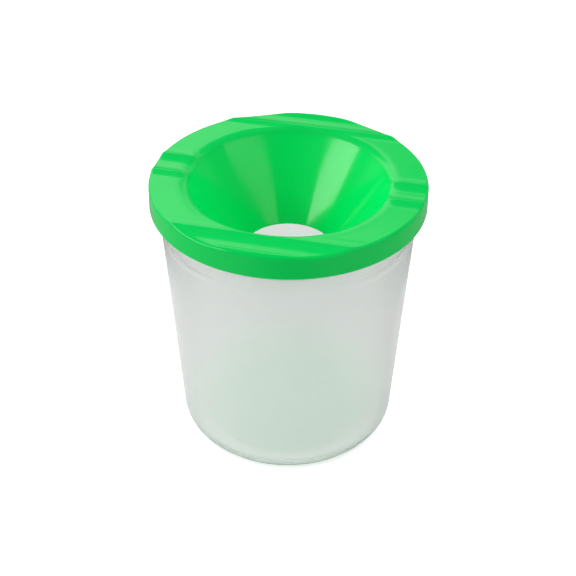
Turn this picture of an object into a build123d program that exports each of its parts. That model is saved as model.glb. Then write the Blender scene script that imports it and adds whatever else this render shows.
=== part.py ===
from build123d import *
import os

# Paint cup with a push-on, non-spill lid. Millimetres, +Z up.
# The origin is the centre of the cup's foot, and X runs along the brush grooves.

# Cup: tapered wall and base
cup_height = 89.6
cup_foot_radius = 35.9      # where the slanting wall would meet the table
cup_mouth_radius = 40.75    # outside of the wall at the mouth
cup_wall = 1.2
cup_floor = 1.8
base_round = 4.6            # outer corner between wall and base
foot_ring_width = 3.3       # the cup stands on this, and the base is lifted inside it
foot_recess_depth = 0.5

# Cup: the lip round the mouth that carries the lid
mouth_lip_width = 0.75      # how far the lip stands out from the wall
mouth_lip_height = 1.8
mouth_lip_round = 0.5
mouth_inner_round = 0.3

# Cup: the fine moulded band under the lid
band_drop = 13.55           # from the mouth down to the middle of the band
band_width = 1.4
band_rise = 0.2

# Lid: ring and skirt
ring_width = 11.2           # from the funnel's mouth out to the rim
ring_thickness = 1.4
skirt_height = 6.0          # from the underside of the ring to the lower edge
skirt_wall = 1.25
skirt_flare = 0.18          # the lower edge is this much wider than the top
skirt_edge_round = 0.35
shoulder_drop = 1.2         # the rim starts to lean in this far below the ring's top
shoulder_inset = 0.7        # and has come in this far at the top of the lips
rim_round = 0.3

# Lid: what holds and seals it on the cup
fit_clearance = 0.25        # between curved faces of lid and cup
plug_depth = 4.6            # the ring wall that reaches into the mouth
plug_wall = 1.0
plug_edge_round = 0.3
snap_bead_width = 1.2
snap_bead_drop = 0.4        # the snap bead lies this far under the cup's lip
snap_pass_gap = 0.1         # between bead and lip as the lid is pulled off

# Lid: funnel
funnel_hole_radius = 13.9
funnel_depth = 26.4         # from the top of the ring to the hole's edge
funnel_wall = 1.3
funnel_mouth_round = 0.5
funnel_edge_round = 0.3

# Lid: brush grooves, one across the middle and one along each side
groove_half_width = 5.1
groove_dip = 0.3            # how far each groove sinks below the ring
lip_rise = 0.5              # how far the grooves' lips stand above the ring
lip_flank_width = 2.5       # slope from a lip down to the ring
lip_round = 0.35
flank_foot_round = 18.0
mouth_strip_width = 1.1     # between the funnel's mouth and a side groove's lip
rim_strip_width = 1.8       # level strip between a side groove and the rim
rim_lip_rise = 0.35         # the rim's height above the ring beside a side groove
rim_lip_round = 2.5

overrun = 5.0               # how far cutting shapes reach past the work

# Cup sizes that follow from the ones above
taper = (cup_mouth_radius - cup_foot_radius) / cup_height
lip_bottom = cup_height - mouth_lip_height
lip_root = lip_bottom - mouth_lip_width
lip_radius = cup_mouth_radius + mouth_lip_width
mouth_inner_radius = cup_mouth_radius - cup_wall
floor_radius = cup_foot_radius + taper * cup_floor - cup_wall
foot_recess_radius = cup_foot_radius - base_round - foot_ring_width
band_height = cup_height - band_drop
band_bottom = band_height - band_width / 2
band_top = band_height + band_width / 2

# Lid sizes that follow: the ring lies on the cup's mouth, the skirt goes round
# its lip and the plug wall goes inside it
ring_under = cup_height
ring_top = ring_under + ring_thickness
skirt_bottom = ring_under - skirt_height
skirt_inner_radius = lip_radius + fit_clearance
rim_radius = skirt_inner_radius + skirt_wall
plug_radius = mouth_inner_radius - fit_clearance
plug_bottom = ring_under - plug_depth
plug_bottom_radius = plug_radius - taper * plug_depth
bead_top = lip_bottom - snap_bead_drop
bead_bottom = bead_top - snap_bead_width
hole_level = ring_top - funnel_depth
funnel_mouth_radius = rim_radius - ring_width
funnel_lean = (funnel_mouth_radius - funnel_hole_radius) / funnel_depth
funnel_wall_across = funnel_wall * (1 + funnel_lean**2) ** 0.5
funnel_under_radius = funnel_mouth_radius - funnel_lean * ring_thickness + funnel_wall_across
groove_bottom = ring_top - groove_dip
lip_top = ring_top + lip_rise
near_lip = funnel_mouth_radius + mouth_strip_width
side_groove_offset = near_lip + groove_half_width
rim_lip_start = rim_radius - rim_strip_width
rim_lip_top = ring_top + rim_lip_rise
blank_top = lip_top + overrun
blank_mouth_radius = funnel_mouth_radius + funnel_lean * (blank_top - ring_top)


def wall_radius(height):
    """Outside radius of the cup's slanting wall at a height above the table."""
    return cup_foot_radius + taper * height


def skirt_face(height):
    """Radius of the skirt's inner face at a height above the table."""
    return skirt_inner_radius + skirt_flare * (ring_under - height) / skirt_height


def corner(sketch, x, y):
    """The corner of a sketch that lies at a point."""
    return sketch.vertices().sort_by_distance((x, y))[0]


def waved_edges(part, nearest, farthest):
    """Curved edges of the lid's waved top whose middle lies between two distances
    from the axis."""
    curved = part.edges().filter_by(GeomType.LINE, reverse=True)
    high = curved.filter_by(lambda e: e.bounding_box().min.Z > groove_bottom - lip_round)
    return high.filter_by(
        lambda e: nearest < ((e @ 0.5).X ** 2 + (e @ 0.5).Y ** 2) ** 0.5 < farthest
    )


# Cup: one tapered shell, turned from a single profile. The base is lifted inside
# its foot, the band is a low arc, and the lip has a sloping underside.
with BuildPart() as cup:
    with BuildSketch(Plane.XZ) as cup_profile:
        with BuildLine():
            Polyline(
                (0, foot_recess_depth),
                (foot_recess_radius - foot_recess_depth, foot_recess_depth),
                (foot_recess_radius, 0),
                (cup_foot_radius, 0),
                (wall_radius(band_bottom), band_bottom),
            )
            ThreePointArc(
                (wall_radius(band_bottom), band_bottom),
                (wall_radius(band_height) + band_rise, band_height),
                (wall_radius(band_top), band_top),
            )
            Polyline(
                (wall_radius(band_top), band_top),
                (wall_radius(lip_root), lip_root),
                (lip_radius, lip_bottom),
                (lip_radius, cup_height),
                (mouth_inner_radius, cup_height),
                (floor_radius, cup_floor),
                (0, cup_floor),
                (0, foot_recess_depth),
            )
        make_face()
        fillet(corner(cup_profile, cup_foot_radius, 0), base_round)
        fillet(corner(cup_profile, floor_radius, cup_floor), base_round - cup_wall)
        fillet(corner(cup_profile, lip_radius, lip_bottom), mouth_lip_round)
        fillet(corner(cup_profile, lip_radius, cup_height), mouth_lip_round)
        fillet(corner(cup_profile, mouth_inner_radius, cup_height), mouth_inner_round)
    revolve(axis=Axis.Z)
cup.part.label = "cup"

# Lid: skirt, snap bead, ring, plug wall and funnel are turned as one blank. Its
# ring is left thick, and the waves of its top are then cut out of it.
with BuildPart() as lid:
    with BuildSketch(Plane.XZ) as lid_profile:
        with BuildLine():
            Polyline(
                (funnel_hole_radius, hole_level),
                (funnel_hole_radius + funnel_wall_across, hole_level),
                (funnel_under_radius, ring_under),
                (plug_radius - plug_wall, ring_under),
                (plug_bottom_radius - plug_wall, plug_bottom),
                (plug_bottom_radius, plug_bottom),
                (plug_radius, ring_under),
                (skirt_inner_radius, ring_under),
                (skirt_face(bead_top), bead_top),
            )
            ThreePointArc(
                (skirt_face(bead_top), bead_top),
                (lip_radius + snap_pass_gap, (bead_top + bead_bottom) / 2),
                (skirt_face(bead_bottom), bead_bottom),
            )
            Polyline(
                (skirt_face(bead_bottom), bead_bottom),
                (skirt_face(skirt_bottom), skirt_bottom),
                (rim_radius + skirt_flare, skirt_bottom),
                (rim_radius, ring_top - shoulder_drop),
            )
            TangentArc(
                (rim_radius, ring_top - shoulder_drop),
                (rim_radius - shoulder_inset, lip_top),
                tangent=(0, 1),
            )
            Polyline(
                (rim_radius - shoulder_inset, lip_top),
                (rim_radius - shoulder_inset, blank_top),
                (blank_mouth_radius, blank_top),
                (funnel_hole_radius, hole_level),
            )
        make_face()
        fillet(corner(lid_profile, skirt_face(skirt_bottom), skirt_bottom), skirt_edge_round)
        fillet(corner(lid_profile, rim_radius + skirt_flare, skirt_bottom), skirt_edge_round)
        fillet(corner(lid_profile, plug_bottom_radius, plug_bottom), plug_edge_round)
        fillet(corner(lid_profile, plug_bottom_radius - plug_wall, plug_bottom), plug_edge_round)
        fillet(corner(lid_profile, funnel_hole_radius, hole_level), funnel_edge_round)
    revolve(axis=Axis.Z)

    # Half of the wave: middle groove, lip, ring, lip, side groove and rim
    with BuildSketch(Plane.YZ) as wave:
        with BuildLine():
            TangentArc((0, groove_bottom), (groove_half_width, lip_top), tangent=(1, 0))
            Polyline(
                (groove_half_width, lip_top),
                (groove_half_width + lip_flank_width, ring_top),
                (near_lip - lip_flank_width, ring_top),
                (near_lip, lip_top),
            )
            TangentArc(
                (side_groove_offset, groove_bottom), (near_lip, lip_top), tangent=(-1, 0)
            )
            TangentArc(
                (side_groove_offset, groove_bottom), (rim_lip_start, rim_lip_top), tangent=(1, 0)
            )
            Polyline(
                (rim_lip_start, rim_lip_top),
                (rim_radius + overrun, rim_lip_top),
                (rim_radius + overrun, blank_top + overrun),
                (0, blank_top + overrun),
                (0, groove_bottom),
            )
        make_face()
        fillet(corner(wave, groove_half_width, lip_top), lip_round)
        fillet(corner(wave, near_lip, lip_top), lip_round)
        fillet(corner(wave, groove_half_width + lip_flank_width, ring_top), flank_foot_round)
        fillet(corner(wave, near_lip - lip_flank_width, ring_top), flank_foot_round)
        fillet(corner(wave, rim_lip_start, rim_lip_top), rim_lip_round)
        mirror(about=Plane.YZ)
    extrude(amount=rim_radius + overrun, both=True, mode=Mode.SUBTRACT)

    # The mouth of the funnel and the rim are rounded all the way round
    ring_middle = (funnel_mouth_radius + rim_radius) / 2
    fillet(waved_edges(lid, funnel_hole_radius, ring_middle), funnel_mouth_round)
    fillet(waved_edges(lid, ring_middle, rim_radius), min(rim_round, lip_round))
lid.part.label = "lid"

os.makedirs("parts", exist_ok=True)
for piece in (cup, lid):
    export_step(piece.part, f"parts/{piece.part.label}.step")
    print(piece.part.label, "solids:", len(piece.part.solids()), "mm3:", round(piece.part.volume))
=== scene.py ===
# Paint cup with a push-on, non-spill lid: how it looks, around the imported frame, in metres.
import math
import bpy
import numpy as np
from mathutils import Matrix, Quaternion, Vector


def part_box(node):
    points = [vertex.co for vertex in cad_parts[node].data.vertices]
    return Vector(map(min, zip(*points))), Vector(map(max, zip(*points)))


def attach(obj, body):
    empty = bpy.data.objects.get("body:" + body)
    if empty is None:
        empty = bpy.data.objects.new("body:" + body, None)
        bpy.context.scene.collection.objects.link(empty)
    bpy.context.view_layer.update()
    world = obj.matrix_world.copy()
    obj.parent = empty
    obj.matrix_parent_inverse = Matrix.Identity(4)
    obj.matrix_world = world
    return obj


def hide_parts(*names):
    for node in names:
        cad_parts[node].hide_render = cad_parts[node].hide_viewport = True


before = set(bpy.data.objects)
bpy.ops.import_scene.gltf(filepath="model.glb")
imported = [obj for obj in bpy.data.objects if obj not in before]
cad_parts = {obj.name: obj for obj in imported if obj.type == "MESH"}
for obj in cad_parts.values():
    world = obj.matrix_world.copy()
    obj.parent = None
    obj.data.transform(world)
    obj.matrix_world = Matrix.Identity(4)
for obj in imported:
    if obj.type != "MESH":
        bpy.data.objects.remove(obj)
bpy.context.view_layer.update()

# Cup
# The cup is one injection-moulded shell of natural polypropylene, blasted in the mould, so
# that it is frosted: it lets light through, but shows only a blurred floor and no contents.
mm = 0.001
cup_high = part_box("cup")[1]
cup_height = cup_high.z
lip_radius = cup_high.x
mouth_lip_width = 0.75 * mm
mouth_lip_height = 1.8 * mm
mouth_lip_round = 0.5 * mm
mouth_inner_round = 0.3 * mm
mouth_radius = lip_radius - mouth_lip_width
foot_radius = 35.9 * mm          # where the slanting wall would meet the table
cup_wall = 1.2 * mm
cup_floor = 1.8 * mm
base_round = 4.6 * mm
foot_ring_width = 3.3 * mm
foot_recess_depth = 0.5 * mm
foot_recess_slope = 0.5 * mm
gate_radius = 1.4 * mm           # the scar in the middle of the base, where the plastic came in
gate_rise = 0.25 * mm
band_drop = 13.55 * mm           # the fine moulded band lies this far under the mouth
band_width = 1.4 * mm
band_rise = 0.08 * mm
band_edge = 0.4 * mm             # width of the slope along each of its edges
band_corner_round = band_edge / 3
cup_columns = 360
longest_run = 5 * mm             # longer straight stretches of a profile are divided
support = 0.25 * mm              # a run has a point at most this far from a round corner


def rounded(corners, steps=8):
    """Profile with rounded corners, given as rows of radius, height and rounding. A corner becomes
    the circle that touches both its runs: it starts rounding / tan(half the corner's angle) from the
    corner, and each of its points is centre + (start - centre) turned by a share of the full turn.
    The points beside it take at most a third of what is straight in a run, so that none cross."""
    corners = np.array(corners, float)
    runs = np.diff(corners[:, :2], axis=0)
    lengths = np.linalg.norm(runs, axis=1)
    ways = runs / lengths[:, None]
    halves = np.arccos(np.clip(-(ways[:-1] * ways[1:]).sum(axis=1), -1, 1)) / 2
    setback = np.concatenate([[0], corners[1:-1, 2] / np.tan(halves), [0]])
    beside = np.minimum(support, (lengths - setback[:-1] - setback[1:]) / 3)
    points = [corners[:1, :2]]
    for i, half in enumerate(halves):
        corner, rounding = corners[i + 1, :2], corners[i + 1, 2]
        if rounding == 0:
            points.append(corner[None])
            continue
        back, on = -ways[i], ways[i + 1]
        start = corner + back * setback[i + 1]
        end = corner + on * setback[i + 1]
        centre = corner + (back + on) / np.linalg.norm(back + on) * rounding / math.sin(half)
        turn = (math.pi - 2 * half) * np.sign(back[1] * on[0] - back[0] * on[1])
        angle = np.linspace(0, turn, steps + 1)[:, None]
        arm = start - centre
        across = np.array([-arm[1], arm[0]])
        arc = centre + arm * np.cos(angle) + across * np.sin(angle)
        points += [(start + back * beside[i])[None], arc, (end + on * beside[i + 1])[None]]
    points.append(corners[-1:, :2])
    return np.concatenate(points)


def divided(profile, longest):
    """The same profile with evenly spaced points added on each run that is longer than longest:
    the place of a point along the profile is its index, and new places lie between whole ones."""
    runs = np.linalg.norm(np.diff(profile, axis=0), axis=1)
    parts = np.maximum(np.ceil(runs / longest), 1).astype(int)
    place = np.concatenate([i + np.arange(n) / n for i, n in enumerate(parts)] + [[len(runs)]])
    index = np.arange(len(profile))
    return np.stack([np.interp(place, index, profile[:, k]) for k in (0, 1)], axis=1)


def shell(name, points, poles):
    """Mesh over a grid of points, rows by columns. The columns close on themselves. The rows close
    too, or run from pole to pole, where a whole row is one point. A face joins place (i, j) to
    (i, j + 1), (i + 1, j + 1) and (i + 1, j)."""
    rows, columns = points.shape[:2]
    number = np.arange(rows * columns).reshape(rows, columns)
    corner = np.stack([number, np.roll(number, -1, 1)], axis=-1)
    if poles:
        corner = np.concatenate([corner[:-1], corner[1:, :, ::-1]], axis=-1)
        first = corner[0][:, [0, 2, 3]]
        last = corner[-1][:, [0, 1, 2]]
        first[:, 0] = 0
        last[:, 2] = number[-1, 0]
        faces = first.tolist() + corner[1:-1].reshape(-1, 4).tolist() + last.tolist()
    else:
        corner = np.concatenate([corner, np.roll(corner, -1, 0)[:, :, ::-1]], axis=-1)
        faces = corner.reshape(-1, 4).tolist()
    mesh = bpy.data.meshes.new(name)
    places = points.reshape(-1, 3)
    if poles:   # drops the spare points of the two pole rows
        kept = np.ones(len(places), bool)
        kept[1:columns] = False
        kept[number[-1, 1:]] = False
        index = np.cumsum(kept) - 1
        places = places[kept]
        faces = [[int(index[k]) for k in face] for face in faces]
    mesh.from_pydata(places, [], faces)
    mesh.shade_smooth()
    made = bpy.data.objects.new(name, mesh)
    bpy.context.scene.collection.objects.link(made)
    return made


def srgb(hex_colour):
    """Linear colour of a hex colour: each channel over 255, less 0.055 times the rest, to 2.4."""
    channel = np.array([int(hex_colour[k:k + 2], 16) for k in (1, 3, 5)]) / 255
    linear = np.where(channel <= 0.04045, channel / 12.92, ((channel + 0.055) / 1.055) ** 2.4)
    return (*linear.tolist(), 1.0)


def add(tree, kind, inputs=(), **settings):
    """Adds a node of a kind, with its settings, and sets or links its inputs by name."""
    made = tree.nodes.new(kind)
    for name, value in settings.items():
        setattr(made, name, value)
    for name, value in dict(inputs).items():
        if isinstance(value, bpy.types.NodeSocket):
            tree.links.new(value, made.inputs[name])
        else:
            made.inputs[name].default_value = value
    return made


wall_slope = (mouth_radius - foot_radius) / cup_height
lip_bottom = cup_height - mouth_lip_height
lip_root = lip_bottom - mouth_lip_width
inner_mouth_radius = mouth_radius - cup_wall
inner_floor_radius = foot_radius + wall_slope * cup_floor - cup_wall
recess_radius = foot_radius - base_round - foot_ring_width
band_level = cup_height - band_drop


def on_wall(height, rise=0.0):
    """Corner of the cup's profile on its slanting outside, raised from it, with a tiny rounding."""
    return (foot_radius + wall_slope * height + rise, height, band_corner_round)


cup_profile = rounded([
    (0, foot_recess_depth - gate_rise, 0),
    (gate_radius, foot_recess_depth - gate_rise, gate_rise / 2),
    (gate_radius + gate_rise, foot_recess_depth, gate_rise / 2),
    (recess_radius - foot_recess_slope, foot_recess_depth, foot_recess_depth / 2),
    (recess_radius, 0, foot_recess_depth / 2),
    (foot_radius, 0, base_round),
    on_wall(band_level - band_width / 2 - band_edge),
    on_wall(band_level - band_width / 2, band_rise),
    on_wall(band_level + band_width / 2, band_rise),
    on_wall(band_level + band_width / 2 + band_edge),
    (foot_radius + wall_slope * lip_root, lip_root, mouth_lip_round),
    (lip_radius, lip_bottom, mouth_lip_round),
    (lip_radius, cup_height, mouth_lip_round),
    (inner_mouth_radius, cup_height, mouth_inner_round),
    (inner_floor_radius, cup_floor, base_round - cup_wall),
    (0, cup_floor, 0),
])
cup_profile = divided(cup_profile, longest_run)
cup_angle = np.linspace(0, 2 * np.pi, cup_columns, endpoint=False)
cup_points = np.stack([
    cup_profile[:, :1] * np.cos(cup_angle),
    cup_profile[:, :1] * np.sin(cup_angle),
    np.broadcast_to(cup_profile[:, 1:], (len(cup_profile), cup_columns)),
], axis=-1)
cup = shell("frosted_cup", cup_points, poles=True)

# Natural polypropylene, frosted by a blasted mould: cloudy white with a hint of green
natural_pp = bpy.data.materials.new("frosted_natural_polypropylene")
natural_pp.use_nodes = True
tree = natural_pp.node_tree
tree.nodes.clear()
place = add(tree, "ShaderNodeTexCoord").outputs["Object"]
cloud_size = 14 * mm             # faint clouds in the moulding
grain_size = 0.5 * mm            # the real frosting is finer, and is drawn coarse enough to show
clouds = add(tree, "ShaderNodeTexNoise", {
    "Vector": place, "Scale": 1 / cloud_size, "Detail": 3.0, "Roughness": 0.5,
}).outputs["Fac"]
grain = add(tree, "ShaderNodeTexNoise", {
    "Vector": place, "Scale": 1 / grain_size, "Detail": 2.0, "Roughness": 0.6,
}).outputs["Fac"]
tint = add(tree, "ShaderNodeMix", {
    "Factor": clouds, "A": srgb("#F8FAF8"), "B": srgb("#FCFDFC"),
}, data_type="RGBA").outputs["Result"]
height = add(tree, "ShaderNodeSeparateXYZ", {"Vector": place}).outputs["Z"]
in_base = add(tree, "ShaderNodeMapRange", {
    "Value": height, "From Min": cup_floor, "From Max": base_round, "To Min": 1.0, "To Max": 0.0,
}, interpolation_type="SMOOTHSTEP").outputs["Result"]
tint = add(tree, "ShaderNodeMix", {   # the base is thicker and shows more of the plastic's own green, and its greener tint is also painted light: green light from the lid that falls on the cup's floor
    "Factor": in_base, "A": tint, "B": srgb("#E2FCEA"),
}, data_type="RGBA")
rough = add(tree, "ShaderNodeMapRange", {
    "Value": clouds, "From Min": 0.3, "From Max": 0.7, "To Min": 0.19, "To Max": 0.23,
}).outputs["Result"]
bump = add(tree, "ShaderNodeBump", {
    "Height": grain, "Strength": 0.25, "Distance": 0.02 * mm,
}).outputs["Normal"]
surface = add(tree, "ShaderNodeBsdfPrincipled", {
    "Base Color": tint.outputs["Result"], "Roughness": rough, "Normal": bump, "IOR": 1.49,
    "Transmission Weight": 0.8,
})
add(tree, "ShaderNodeOutputMaterial", {"Surface": surface.outputs["BSDF"]})
cup.data.materials.append(natural_pp)
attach(cup, "cup")
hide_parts("cup")

# Lid
# The lid is one glossy injection moulding of green polypropylene. Its skirt snaps over the cup's
# lip, its funnel reaches down into the cup, and its ring is waved: three parallel grooves hold brushes.
hole_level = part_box("lid")[0].z
ring_thickness = 1.4 * mm
ring_under = cup_height
ring_top = ring_under + ring_thickness
ring_width = 11.2 * mm
skirt_height = 6.0 * mm
skirt_wall = 1.25 * mm
skirt_flare = 0.16 * mm          # a little less than in the CAD, to stay inside its box
skirt_edge_round = 0.35 * mm
flare_start = 0.3                # share of the skirt's height where its straight outside starts
fit_clearance = 0.25 * mm
plug_depth = 4.6 * mm
plug_wall = 1.0 * mm
plug_edge_round = 0.3 * mm
snap_bead_width = 1.2 * mm
snap_bead_drop = 0.4 * mm
snap_pass_gap = 0.1 * mm
bead_corner = 0.1 * mm           # about what its rounding takes off the snap bead's corner
hole_radius = 13.9 * mm
funnel_wall = 1.3 * mm
mouth_bend_in = 1.4 * mm         # the funnel's mouth starts to round this far down its wall
mouth_bend_out = 3.2 * mm        # and has reached the ring this far outside it,
lip_bend_out = 1.2 * mm          # or this far where a side groove's lip runs along it
funnel_edge_round = 0.3 * mm
edge_height = 2 * mm             # this lowest part of the funnel comes with its lower edge
groove_half_width = 5.1 * mm
groove_dip = 0.3 * mm
lip_rise = 0.5 * mm
lip_flank_width = 2.5 * mm
mouth_strip_width = 1.1 * mm
rim_strip_width = 1.8 * mm
rim_lip_rise = 0.35 * mm
crest_blend = 0.10 * mm          # how far apart two slopes are where their meeting starts to round
foot_blend = 0.35 * mm
rim_blend = 0.12 * mm
side_roll = 0.9 * mm             # rounding of the rim at the ends of the grooves
front_roll = 1.6 * mm            # and beside the side grooves,
roll_power = 6                   # and a higher power goes from one to the other later
straight_until = 13              # up to this angle, in degrees, columns keep to the middle groove,
radial_from = 30                 # and from this one on they point at the axis
crest_step = 0.3 * mm            # columns lie this close beside the middle groove's crest
foot_step = 0.54 * mm            # and beside the foot of its lip
crossing_steps = (-6, -3, 3.5, 10)   # degrees beside the place where a side lip crosses the rim
quarter_counts = [9, 5, 5, 6, 5, 3, 26, 5, 28, 8, 28]   # columns from each break to the next
beside_lip_start = 0.75          # sine of a column's angle where the mouth's bend starts to narrow
beside_lip_end = 0.93            # and where it has narrowed
wall_steps = 8
last_share = 0.9875              # the wall's last row lies just before its mouth starts to round
mouth_steps = 7
ring_counts = [7, 4, 5, 4, 4, 12, 9, 5, 3]   # rows from each line of the ring to the next
foot_margin = 0.5 * mm           # the ring has rows this far on both sides of a lip's foot,
crest_margin = 0.25 * mm         # of its crest
rim_margin_in = 0.6 * mm         # and of the start of the rim
rim_margin_out = 0.5 * mm
least_step = 0.01 * mm           # rows stay at least this far apart
least_sine = 0.01                # stands in for a sine of 0, which can't divide
roll_steps = 12
hidden_steps = 5                 # steps in each rounding below and inside

skirt_inner_radius = lip_radius + fit_clearance
rim_radius = skirt_inner_radius + skirt_wall
mouth_of_funnel = rim_radius - ring_width
funnel_lean = (mouth_of_funnel - hole_radius) / (ring_top - hole_level)
wall_across = funnel_wall * math.hypot(1, funnel_lean)
near_lip = mouth_of_funnel + mouth_strip_width
side_groove = near_lip + groove_half_width
rim_lip_start = rim_radius - rim_strip_width
skirt_bottom = ring_under - skirt_height
plug_radius = inner_mouth_radius - fit_clearance
plug_bottom = ring_under - plug_depth
plug_bottom_radius = plug_radius - wall_slope * plug_depth
bead_top = lip_bottom - snap_bead_drop
bead_middle = bead_top - snap_bead_width / 2
bead_bottom = bead_top - snap_bead_width


def smooth_min(a, b, blend):
    """Lesser of two heights, with their meeting rounded: where they differ by less than blend, it is
    lowered by the rest of blend, squared, over four times blend."""
    rest = np.maximum(blend - np.abs(a - b), 0)
    return np.minimum(a, b) - rest**2 / (4 * blend)


def hollow(across, reach, rise):
    """Height in a groove at a distance from its middle: a circle that starts level at the bottom and
    has climbed rise at reach, so its radius is (reach squared + rise squared) / (2 rise). Past nine
    tenths of that radius it stays level."""
    radius = (reach**2 + rise**2) / (2 * rise)
    across = np.minimum(np.abs(across), 0.9 * radius)
    return radius - np.sqrt(radius**2 - across**2) - groove_dip


def wave(across):
    """Height of the lid's top above its ring, by the distance from the plane through the middle
    groove: each groove is a hollow, cut off by the straight flank of its lip, and the flank ends
    level with the ring. Beside a side groove the rim levels off at its own height."""
    v = np.abs(across)
    climb = lip_rise + groove_dip
    to_middle = lip_rise * (1 - (v - groove_half_width) / lip_flank_width)
    to_side = lip_rise * (1 - (near_lip - v) / lip_flank_width)
    flank = -smooth_min(-np.maximum(np.where(v < side_groove / 2, to_middle, to_side), -lip_rise),
                        0, foot_blend)
    middle = smooth_min(hollow(v, groove_half_width, climb), flank, crest_blend)
    side = smooth_min(hollow(v - side_groove, groove_half_width, climb), flank, crest_blend)
    outer = smooth_min(hollow(v - side_groove, rim_lip_start - side_groove, rim_lip_rise + groove_dip),
                       rim_lip_rise, rim_blend)
    return np.where(v < side_groove / 2, middle, np.where(v < side_groove, side, outer))


def spread(breaks, counts):
    """Rising values with a fixed number of steps from each break to the next. breaks may hold a row
    of values for each break, one for each column of the lid."""
    breaks = np.array(breaks, float)
    place = np.concatenate([np.arange(n) / n + i for i, n in enumerate(counts)] + [[len(counts)]])
    low = np.minimum(place.astype(int), len(counts) - 1)
    share = (place - low).reshape(-1, *[1] * (breaks.ndim - 1))
    return breaks[low] * (1 - share) + breaks[low + 1] * share


def eased(value, start, end):
    """Number that goes smoothly from 0 to 1 as value goes from start to end: its share of the way,
    squared, times three less twice the share."""
    share = np.clip((value - start) / (end - start), 0, 1)
    return share**2 * (3 - 2 * share)


def quarter_columns():
    """Angles of the lid's columns from the middle groove to square to it, closest together where a
    lip runs along them or crosses the rim."""
    crest = groove_half_width + crest_step * np.array([-1, 0, 1])
    foot = groove_half_width + lip_flank_width + foot_step * np.array([-1, 1])
    middle = np.degrees(np.arcsin(np.array([0, *crest, *foot]) / rim_radius))
    crossing = math.degrees(math.asin(near_lip / rim_radius))
    breaks = [*middle, straight_until, *[crossing + step for step in crossing_steps], 90]
    return np.radians(spread(breaks, quarter_counts))


quarter = quarter_columns()
half_turn = np.concatenate([quarter, np.pi - quarter[-2::-1]])
columns = np.concatenate([half_turn, np.pi + half_turn[1:-1]])
sine = np.abs(np.sin(columns))
along = 1 - eased(np.degrees(np.arcsin(sine)), straight_until, radial_from)


def column_angle(radius):
    """Angle of each column at a radius. Beside the middle groove a column keeps its distance from
    the middle plane, angle = asin(rim radius * sin(column) / radius), and elsewhere its angle."""
    within = np.clip(radius, mouth_of_funnel, rim_radius)
    parallel = np.arcsin(np.clip(rim_radius * sine / within, 0, 1))
    moved = (parallel - np.arcsin(sine)) * along
    return columns + moved * np.sign(np.sin(columns) * np.cos(columns))


def top_at(radius):
    """Height of the waved top at a radius, for each column."""
    return ring_top + wave(radius * np.sin(column_angle(radius)))


meeting = np.full(len(columns), mouth_of_funnel)
for _ in range(4):   # the cone is carried up or down to the wave, which moves their meeting
    meeting = mouth_of_funnel + funnel_lean * (top_at(meeting) - ring_top)
cone_step = mouth_bend_in * np.array([funnel_lean, 1]) / math.hypot(1, funnel_lean)
meeting_level = top_at(meeting)
wall_end = np.stack([meeting - cone_step[0], meeting_level - cone_step[1]])
beside_lip = eased(sine, beside_lip_start, beside_lip_end)
bend_end = meeting + mouth_bend_out + (lip_bend_out - mouth_bend_out) * beside_lip
ring_start = np.stack([bend_end, top_at(bend_end)])

# Funnel wall, from just above its lower edge up to where its mouth starts to round
wall_foot = np.array([[hole_radius + funnel_lean * edge_height], [hole_level + edge_height]])
wall_share = np.append(np.linspace(0, 1, wall_steps + 1)[:-1], last_share)[:, None, None]
wall_rows = wall_foot * (1 - wall_share) + wall_end * wall_share

# Mouth of the funnel: a curve of the second degree from the wall, past the meeting, to the ring
bend = np.linspace(0, 1, mouth_steps + 1)[:, None, None]
mouth_rows = (wall_end * (1 - bend) ** 2 + np.stack([meeting, meeting_level]) * 2 * bend * (1 - bend)
              + ring_start * bend**2)

# Ring: rows that follow the feet and crests of the side grooves' lips, kept apart at the edges
lip_foot = near_lip - lip_flank_width
side_lines = [lip_foot - foot_margin, lip_foot + foot_margin,
              near_lip - crest_margin, near_lip, near_lip + crest_margin, side_groove,
              rim_lip_start - rim_margin_in, rim_lip_start + rim_margin_out]
roll = side_roll + (front_roll - side_roll) * sine**roll_power
ring_end = rim_radius - roll
taken = np.cumsum(ring_counts) * least_step
lines = np.array(side_lines)[:, None] / np.maximum(sine, least_sine)
lines = np.clip(lines, ring_start[0] + taken[:-1, None], ring_end - (taken[-1] - taken[:-1, None]))
ring_radii = spread(np.concatenate([[ring_start[0]], lines, [ring_end]]), ring_counts)[1:]
ring_rows = np.stack([[radius, top_at(radius)] for radius in ring_radii])

# Rim: a quarter circle in radius and height, laid over the wave
roll_angle = np.linspace(0, np.pi / 2, roll_steps + 1)[1:, None]
roll_radii = ring_end + roll * np.sin(roll_angle)
roll_drop = roll * (1 - np.cos(roll_angle))
roll_rows = np.stack([[radius, top_at(radius) - drop] for radius, drop in zip(roll_radii, roll_drop)])

# Skirt, snap bead, underside, plug wall, and outside and lower edge of the funnel: a profile that is
# the same all the way round
bead_radius = lip_radius + snap_pass_gap


def skirt_face(height):
    """Radius of the skirt's inner face at a height: it flares evenly from the ring down."""
    return skirt_inner_radius + skirt_flare * (ring_under - height) / skirt_height


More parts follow.
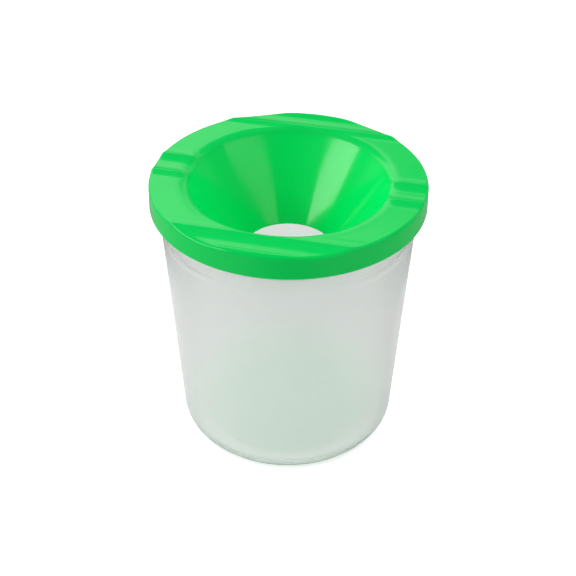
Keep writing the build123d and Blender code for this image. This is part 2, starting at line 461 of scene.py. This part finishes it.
under_profile = rounded([
    (rim_radius + skirt_flare * flare_start, ring_under - skirt_height * flare_start, 0),
    (rim_radius + skirt_flare, skirt_bottom, skirt_edge_round),
    (skirt_face(skirt_bottom), skirt_bottom, skirt_edge_round),
    (skirt_face(bead_bottom), bead_bottom, snap_bead_width / 4),
    (bead_radius - bead_corner, bead_middle, snap_bead_width / 3),
    (skirt_face(bead_top), bead_top, snap_bead_width / 4),
    (skirt_inner_radius, ring_under, fit_clearance / 2),
    (plug_radius, ring_under, fit_clearance / 2),
    (plug_bottom_radius, plug_bottom, plug_edge_round),
    (plug_bottom_radius - plug_wall, plug_bottom, plug_edge_round),
    (plug_radius - plug_wall, ring_under, plug_edge_round),
    (mouth_of_funnel - funnel_lean * ring_thickness + wall_across, ring_under, plug_edge_round),
    (hole_radius + wall_across, hole_level, funnel_edge_round),
    (hole_radius, hole_level, funnel_edge_round),
    (*wall_foot[:, 0], 0),
], steps=hidden_steps)[:-1]
under_profile = divided(under_profile, longest_run)
under_rows = np.broadcast_to(under_profile[:, :, None], (*under_profile.shape, len(columns)))

lid_rows = np.concatenate([wall_rows, mouth_rows, ring_rows, roll_rows, under_rows])[::-1]
lid_angle = np.stack([column_angle(radius) for radius in lid_rows[:, 0]])
lid_points = np.stack([lid_rows[:, 0] * np.cos(lid_angle), lid_rows[:, 0] * np.sin(lid_angle),
                       lid_rows[:, 1]], axis=-1)
lid = shell("green_lid", lid_points, poles=False)

# Green polypropylene from a polished mould: deep, even colour and a soft gloss, with painted light in
# the funnel, which is lighter where light from the cup comes through its thin wall
green_pp = bpy.data.materials.new("glossy_green_polypropylene")
green_pp.use_nodes = True
tree = green_pp.node_tree
tree.nodes.clear()
place = add(tree, "ShaderNodeTexCoord").outputs["Object"]
flow_size = 9 * mm               # slow changes in the gloss, from how the melt flowed
peel_size = 1.6 * mm             # the faint orange peel of thin mouldings
lit_inside = 2 * mm              # the funnel's painted light, a lighter green, ends from this far inside its mouth
lit_outside = 1 * mm             # to this far outside it
flow = add(tree, "ShaderNodeTexNoise", {
    "Vector": place, "Scale": 1 / flow_size, "Detail": 3.0, "Roughness": 0.55,
}).outputs["Fac"]
peel = add(tree, "ShaderNodeTexNoise", {
    "Vector": place, "Scale": 1 / peel_size, "Detail": 2.0, "Roughness": 0.5,
}).outputs["Fac"]
dye_and_painted_light = add(tree, "ShaderNodeMix", {
    "Factor": flow, "A": srgb("#00C050"), "B": srgb("#00C554"),
}, data_type="RGBA").outputs["Result"]
flat = add(tree, "ShaderNodeVectorMath", {0: place, 1: (1, 1, 0)}, operation="MULTIPLY")
reach = add(tree, "ShaderNodeVectorMath", {0: flat.outputs["Vector"]}, operation="LENGTH")
painted_light_in_funnel = add(tree, "ShaderNodeMapRange", {
    "Value": reach.outputs["Value"],
    "From Min": mouth_of_funnel - lit_inside, "From Max": mouth_of_funnel + lit_outside,
    "To Min": 1.0, "To Max": 0.0,
}, interpolation_type="SMOOTHSTEP").outputs["Result"]
dye_and_painted_light = add(tree, "ShaderNodeMix", {   # painted light: the funnel is lighter green, standing in for light from the cup that comes through its thin wall
    "Factor": painted_light_in_funnel, "A": dye_and_painted_light, "B": srgb("#00D75D"),
}, data_type="RGBA")
rough = add(tree, "ShaderNodeMapRange", {
    "Value": flow, "From Min": 0.3, "From Max": 0.7, "To Min": 0.10, "To Max": 0.15,
}).outputs["Result"]
bump = add(tree, "ShaderNodeBump", {
    "Height": peel, "Strength": 0.2, "Distance": 0.01 * mm,
}).outputs["Normal"]
surface = add(tree, "ShaderNodeBsdfPrincipled", {
    "Base Color": dye_and_painted_light.outputs["Result"], "Roughness": rough, "Normal": bump, "IOR": 1.49,
    "Specular IOR Level": 0.35,
})
add(tree, "ShaderNodeOutputMaterial", {"Surface": surface.outputs["BSDF"]})
lid.data.materials.append(green_pp)
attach(lid, "lid")
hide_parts("lid")

# Camera
# It stands where the photographer's did: a little to the right of square to the grooves.
camera_azimuth = math.radians(13.2)
camera_elevation = math.radians(36.86)
camera_distance = 0.3615
camera_roll = math.radians(0.3)
lens_length = 68.3               # in mm, on a sensor 36 mm wide
look_at = Vector((0, 0, 48.62 * mm))
side = Vector((math.cos(camera_azimuth), math.sin(camera_azimuth), 0))
towards = Vector((math.sin(camera_azimuth), -math.cos(camera_azimuth), 0))
back = towards * math.cos(camera_elevation) + Vector((0, 0, math.sin(camera_elevation)))
camera_data = bpy.data.cameras.new("camera")
camera_data.lens = lens_length
camera_data.sensor_width = 36.0
camera = bpy.data.objects.new("camera", camera_data)
camera.location = look_at + back * camera_distance
camera.rotation_mode = "QUATERNION"
camera.rotation_quaternion = (-back).to_track_quat("-Z", "Y") @ Quaternion((0, 0, 1), camera_roll)
bpy.context.scene.collection.objects.link(camera)
bpy.context.scene.camera = camera

# Studio
# White floor, two softboxes, and a room that lights matt surfaces most from overhead, from behind the
# cup and from both sides. First gloss, which hasn't come through the cup, shows a pale wall behind
# the cup instead, brighter on its left and along its top, and a floor that is dim away from the cup.
floor_size = 8.0
room_middle = 0.30               # radiance of the room as it lights matt surfaces: middle level,
room_overhead = 0.55             # what it gains towards the zenith,
room_leftward = 0.2              # to the left
room_behind = 0.7                # and behind the cup,
room_sides = 1.15                # what it gains to both sides
room_least = 0.05                # and the least that it falls to
gloss_level = 0.05               # radiance of the room as first gloss shows it
wall_left = 1.15                 # and of the wall behind the cup, at its left,
wall_right_low = 0.65            # at its right, low down
wall_right = 0.18                # and at its right, higher up
wall_gain = 1.0                  # what the wall gains near its top
wall_foot_rise = (2, 24)         # degrees above the floor between which the wall fades in,
wall_right_rise = (24, 28)       # its right side goes from one level to the other,
wall_gain_rise = (32, 35)        # it gains
wall_top_rise = (33, 42)         # and it fades out
wall_turn = (-0.15, 0.15)        # part of a direction to the right where left turns into right
wall_back = (0.2, 0.6)           # and part of it to the back where the wall fades in
floor_gloss_near = 0.9           # radiance of the floor close to the cup, which the cup reflects,
floor_gloss_middle = 0.08        # of the floor farther in front of the cup and behind it
floor_gloss_side = 0.28          # and farther out at its sides
near_reach = (0.08, 0.13)        # metres from the cup's axis where the near level ends
side_reach = (0.02, 0.12)        # metres across where the middle level turns into that of the sides
glow_level = 0.55                # lifts the floor to full white where the camera sees it


def light_paths(tree):
    """Outputs of a new Light Path node, and a number that is 1 for first gloss and 0 for other rays:
    Is Glossy Ray times whether Transmission Depth is less than 0.5."""
    path = add(tree, "ShaderNodeLightPath").outputs
    clear = add(tree, "ShaderNodeMath", {0: path["Transmission Depth"], 1: 0.5}, operation="LESS_THAN")
    gloss = add(tree, "ShaderNodeMath", {
        0: path["Is Glossy Ray"], 1: clear.outputs[0],
    }, operation="MULTIPLY")
    return path, gloss.outputs[0]


bpy.ops.mesh.primitive_plane_add(size=floor_size)
floor = bpy.context.object
floor.name = "floor"
white_floor = bpy.data.materials.new("white_floor")
white_floor.use_nodes = True
tree = white_floor.node_tree
tree.nodes.clear()
path, first_gloss = light_paths(tree)
place = add(tree, "ShaderNodeTexCoord").outputs["Object"]
across = add(tree, "ShaderNodeVectorMath", {0: place, 1: side}, operation="DOT_PRODUCT")
across = add(tree, "ShaderNodeMath", {0: across.outputs["Value"]}, operation="ABSOLUTE")
far_level = add(tree, "ShaderNodeMapRange", {
    "Value": across.outputs[0], "From Min": side_reach[0], "From Max": side_reach[1],
    "To Min": floor_gloss_middle, "To Max": floor_gloss_side,
}, interpolation_type="SMOOTHSTEP")
reach = add(tree, "ShaderNodeVectorMath", {0: place}, operation="LENGTH")
gloss_paint = add(tree, "ShaderNodeMapRange", {
    "Value": reach.outputs["Value"], "From Min": near_reach[0], "From Max": near_reach[1],
    "To Min": floor_gloss_near, "To Max": far_level.outputs["Result"],
}, interpolation_type="SMOOTHSTEP")
paint = add(tree, "ShaderNodeMix", {
    "Factor": first_gloss, "A": srgb("#DCDCDC"), "B": gloss_paint.outputs["Result"],
}, data_type="RGBA")
matt = add(tree, "ShaderNodeBsdfDiffuse", {"Color": paint.outputs["Result"]})
glow_seen = add(tree, "ShaderNodeMath", {
    0: path["Is Camera Ray"], 1: glow_level,
}, operation="MULTIPLY")
glow = add(tree, "ShaderNodeEmission", {
    "Color": srgb("#FFFFFF"), "Strength": glow_seen.outputs[0],
})
open_floor = add(tree, "ShaderNodeAddShader", {0: matt.outputs[0], 1: glow.outputs[0]})
white = add(tree, "ShaderNodeEmission", {"Color": srgb("#FFFFFF"), "Strength": 1.0})
total = add(tree, "ShaderNodeMixShader", {   # through the cup's wall the floor is plain white
    0: path["Is Transmission Ray"], 1: open_floor.outputs[0], 2: white.outputs[0],
})
add(tree, "ShaderNodeOutputMaterial", {"Surface": total.outputs[0]})
floor.data.materials.append(white_floor)


def softbox(name, azimuth, elevation, width, height, radiance):
    """Rectangular lamp, 1 m from the lid and turned to it. Azimuth 0 is on the camera's side and 90
    to its right. Its power in watts is four times radiance times area."""
    a, e = math.radians(azimuth), math.radians(elevation)
    way = (towards * math.cos(a) + side * math.sin(a)) * math.cos(e) + Vector((0, 0, math.sin(e)))
    data = bpy.data.lights.new(name, "AREA")
    data.shape = "RECTANGLE"
    data.size = width
    data.size_y = height
    data.energy = 4 * radiance * width * height
    made = bpy.data.objects.new(name, data)
    made.location = Vector((0, 0, ring_top)) + way
    made.rotation_mode = "QUATERNION"
    made.rotation_quaternion = (-way).to_track_quat("-Z", "Y")
    bpy.context.scene.collection.objects.link(made)


softbox("left_softbox", azimuth=-69.5, elevation=28.5, width=0.66, height=0.23, radiance=4.3)
softbox("right_softbox", azimuth=55.5, elevation=33.5, width=0.90, height=0.20, radiance=0.95)

world = bpy.data.worlds.new("studio")
bpy.context.scene.world = world
world.use_nodes = True
tree = world.node_tree
tree.nodes.clear()
way = add(tree, "ShaderNodeTexCoord").outputs["Generated"]
slant = Vector((0, 0, room_overhead)) - side * room_leftward - towards * room_behind
slanted, rightward, behind = [
    add(tree, "ShaderNodeVectorMath", {0: way, 1: axis}, operation="DOT_PRODUCT").outputs["Value"]
    for axis in (slant, side, -towards)
]
rise = add(tree, "ShaderNodeSeparateXYZ", {"Vector": way}).outputs["Z"]

# Room as matt surfaces see it: its middle level, plus its slant, plus what both sides gain
sideways = add(tree, "ShaderNodeMath", {0: rightward}, operation="ABSOLUTE").outputs[0]
room = add(tree, "ShaderNodeMath", {0: slanted, 1: room_middle}, operation="ADD").outputs[0]
room = add(tree, "ShaderNodeMath", {
    0: sideways, 1: room_sides, 2: room,
}, operation="MULTIPLY_ADD").outputs[0]
room = add(tree, "ShaderNodeMath", {0: room, 1: room_least}, operation="MAXIMUM").outputs[0]


def sines(degrees):
    """Sines of a pair of angles above the floor: the heights of their directions."""
    return [math.sin(math.radians(angle)) for angle in degrees]


# Wall as first gloss sees it: (level from left to right + gain) times each of its three fades
levels = []
for value, (start, end), low, high in (
        (rise, sines(wall_right_rise), wall_right_low, wall_right),
        (rise, sines(wall_gain_rise), 0.0, wall_gain),
        (rise, sines(wall_foot_rise), 0.0, 1.0),
        (rise, sines(wall_top_rise), 1.0, 0.0),
        (behind, wall_back, 0.0, 1.0),
):
    levels.append(add(tree, "ShaderNodeMapRange", {
        "Value": value, "From Min": start, "From Max": end, "To Min": low, "To Max": high,
    }, interpolation_type="SMOOTHSTEP").outputs["Result"])
right, gain, *fades = levels
wall = add(tree, "ShaderNodeMapRange", {
    "Value": rightward, "From Min": wall_turn[0], "From Max": wall_turn[1],
    "To Min": wall_left, "To Max": right,
}, interpolation_type="SMOOTHSTEP").outputs["Result"]
wall = add(tree, "ShaderNodeMath", {0: wall, 1: gain}, operation="ADD").outputs[0]
for fade in fades:
    wall = add(tree, "ShaderNodeMath", {0: wall, 1: fade}, operation="MULTIPLY").outputs[0]
gloss = add(tree, "ShaderNodeMath", {0: wall, 1: gloss_level}, operation="ADD").outputs[0]

# The camera, and the cup's wall, see plain white
path, first_gloss = light_paths(tree)
seen = add(tree, "ShaderNodeMath", {
    0: path["Is Camera Ray"], 1: path["Is Transmission Ray"],
}, operation="MAXIMUM").outputs[0]
level = add(tree, "ShaderNodeMix", {"Factor": seen, "A": room, "B": 1.0}, data_type="FLOAT")
level = add(tree, "ShaderNodeMix", {
    "Factor": first_gloss, "A": level.outputs["Result"], "B": gloss,
}, data_type="FLOAT")
lit = add(tree, "ShaderNodeBackground", {
    "Color": srgb("#FFFFFF"), "Strength": level.outputs["Result"],
})
add(tree, "ShaderNodeOutputWorld", {"Surface": lit.outputs[0]})
bpy.context.scene.view_settings.view_transform = "Standard"
